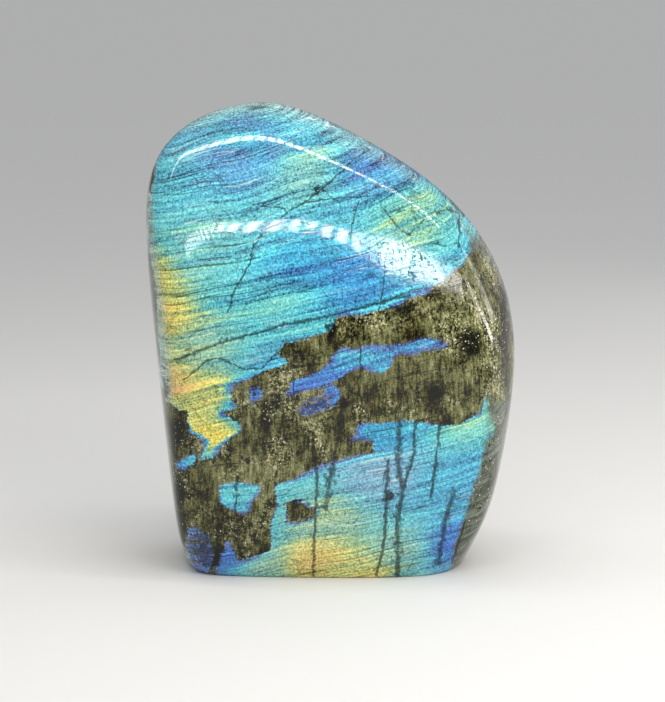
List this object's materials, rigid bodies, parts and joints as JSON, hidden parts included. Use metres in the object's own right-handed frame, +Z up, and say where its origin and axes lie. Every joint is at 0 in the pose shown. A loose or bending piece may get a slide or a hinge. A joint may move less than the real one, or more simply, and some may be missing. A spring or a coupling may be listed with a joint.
{
  "type": "polished labradorite freeform stone",
  "caption": "Polished freeform labradorite display stone with a flat sawn base, a domed face with blue and gold flash, and rounded edges.",
  "frame": {"origin": "middle of the bounding box at the sawn base, on the surface the stone stands on", "axes": "+Z up, -Y towards the domed flashing face, +X to the stone's right as the picture shows it"},
  "size_m": [0.1202, 0.062, 0.1503],
  "materials": {
    "labradorite": "high polish, blue, cyan and gold flash over grey-green feldspar"
  },
  "bodies": {
    "root": {"stone": "labradorite"}
  },
  "joints": []
}
